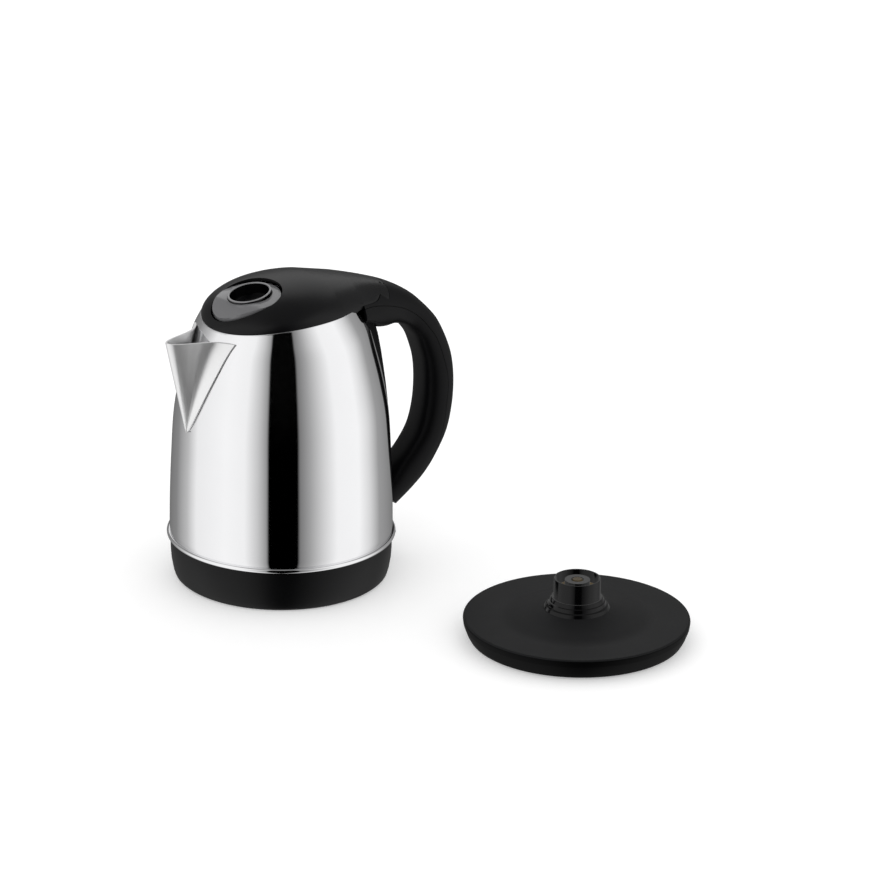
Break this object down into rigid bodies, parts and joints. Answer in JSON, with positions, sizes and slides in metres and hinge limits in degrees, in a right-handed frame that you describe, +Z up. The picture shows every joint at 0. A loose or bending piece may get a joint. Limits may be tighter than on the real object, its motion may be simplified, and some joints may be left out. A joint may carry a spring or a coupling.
{
  "type": "electric kettle",
  "caption": "Steel electric jug kettle with V spout, black loop handle and domed hinged lid with finger well, standing beside its round cordless power base.",
  "frame": {"origin": "middle of the bottom of the box round the jug and its power base, on the table", "axes": "+Z up; the jug's symmetry plane is parallel to XZ, with its spout to -X and its handle to +X; the power base stands towards -Y"},
  "size_m": [0.2782, 0.3626, 0.2161],
  "materials": {
    "polished_steel": "mirror-polished stainless steel",
    "satin_steel": "satin stainless steel",
    "pin_steel": "bright wire",
    "element_steel": "oxidised sheath",
    "aluminium": "mill finish",
    "brass": "bright",
    "black_satin": "satin moulded polypropylene",
    "lid_satin": "fine satin texture",
    "black_skirt": "satin moulded polypropylene",
    "base_matte": "fine matte texture",
    "black_gloss": "gloss",
    "panel_gloss": "gloss",
    "cream_plastic": "moulded thermoset",
    "silicone": "translucent grey silicone",
    "rubber": "matte"
  },
  "bodies": {
    "power_base": {"base_cover": "base_matte", "base_bottom_plate": "base_matte", "base_screw_1": "pin_steel", "base_foot_1": "rubber", "base_screw_2": "pin_steel", "base_foot_2": "rubber", "base_screw_3": "pin_steel", "base_foot_3": "rubber", "connector_collar": "black_gloss", "connector_core": "black_gloss", "contact_ring_inner": "brass", "contact_ring_outer": "brass", "earth_pin": "brass", "cord_gland": "rubber"},
    "jug": {"body_shell": "polished_steel", "spout": "satin_steel", "floor_plate": "satin_steel", "handle_spine": "black_satin", "handle_cover": "black_satin", "handle_grip": "black_satin", "base_skirt": "black_skirt", "heat_spreader": "aluminium", "heating_element": "element_steel", "control_housing": "cream_plastic", "socket_ring": "black_gloss", "socket_contact_live": "brass", "socket_contact_earth": "brass", "switch_box": "cream_plastic", "lever_pin": "pin_steel", "hinge_pin": "pin_steel", "hinge_bracket": "black_satin"},
    "lid": {"lid_shell": "lid_satin", "lid_panel": "panel_gloss", "lid_well": "black_gloss", "button_spring": "pin_steel", "lid_frame": "black_satin", "lid_seal": "silicone", "lid_inner_plate": "satin_steel", "lid_hinge_arm": "black_satin"},
    "button": {"lid_button": "black_satin"},
    "latch": {"latch_bolt": "pin_steel"},
    "switch": {"switch_lever": "black_gloss"}
  },
  "joints": [
    {"name": "jug_lift", "type": "slide", "parent": "power_base", "child": "jug", "axis": [0, 0, 1], "range_m": [0, 0.15]},
    {"name": "lid_hinge", "type": "hinge", "parent": "jug", "child": "lid", "pos_m": [0.02385, 0.10135, 0.1995], "axis": [0, 1, 0], "range_deg": [0, 70]},
    {"name": "button_press", "type": "slide", "parent": "lid", "child": "button", "axis": [0.2079, 0, -0.9781], "range_m": [0, 0.003], "stiffness_N_per_m": 300, "deforming": ["button_spring"]},
    {"name": "latch_slide", "type": "slide", "parent": "lid", "child": "latch", "axis": [1, 0, 0], "range_m": [0, 0.003]},
    {"name": "switch_toggle", "type": "hinge", "parent": "jug", "child": "switch", "pos_m": [0.02125, 0.10135, 0.0165], "axis": [0, 1, 0], "range_deg": [0, 12]}
  ],
  "couplings": [
    {"joint": "latch_slide", "follows": "button_press", "ratio": 1}
  ]
}
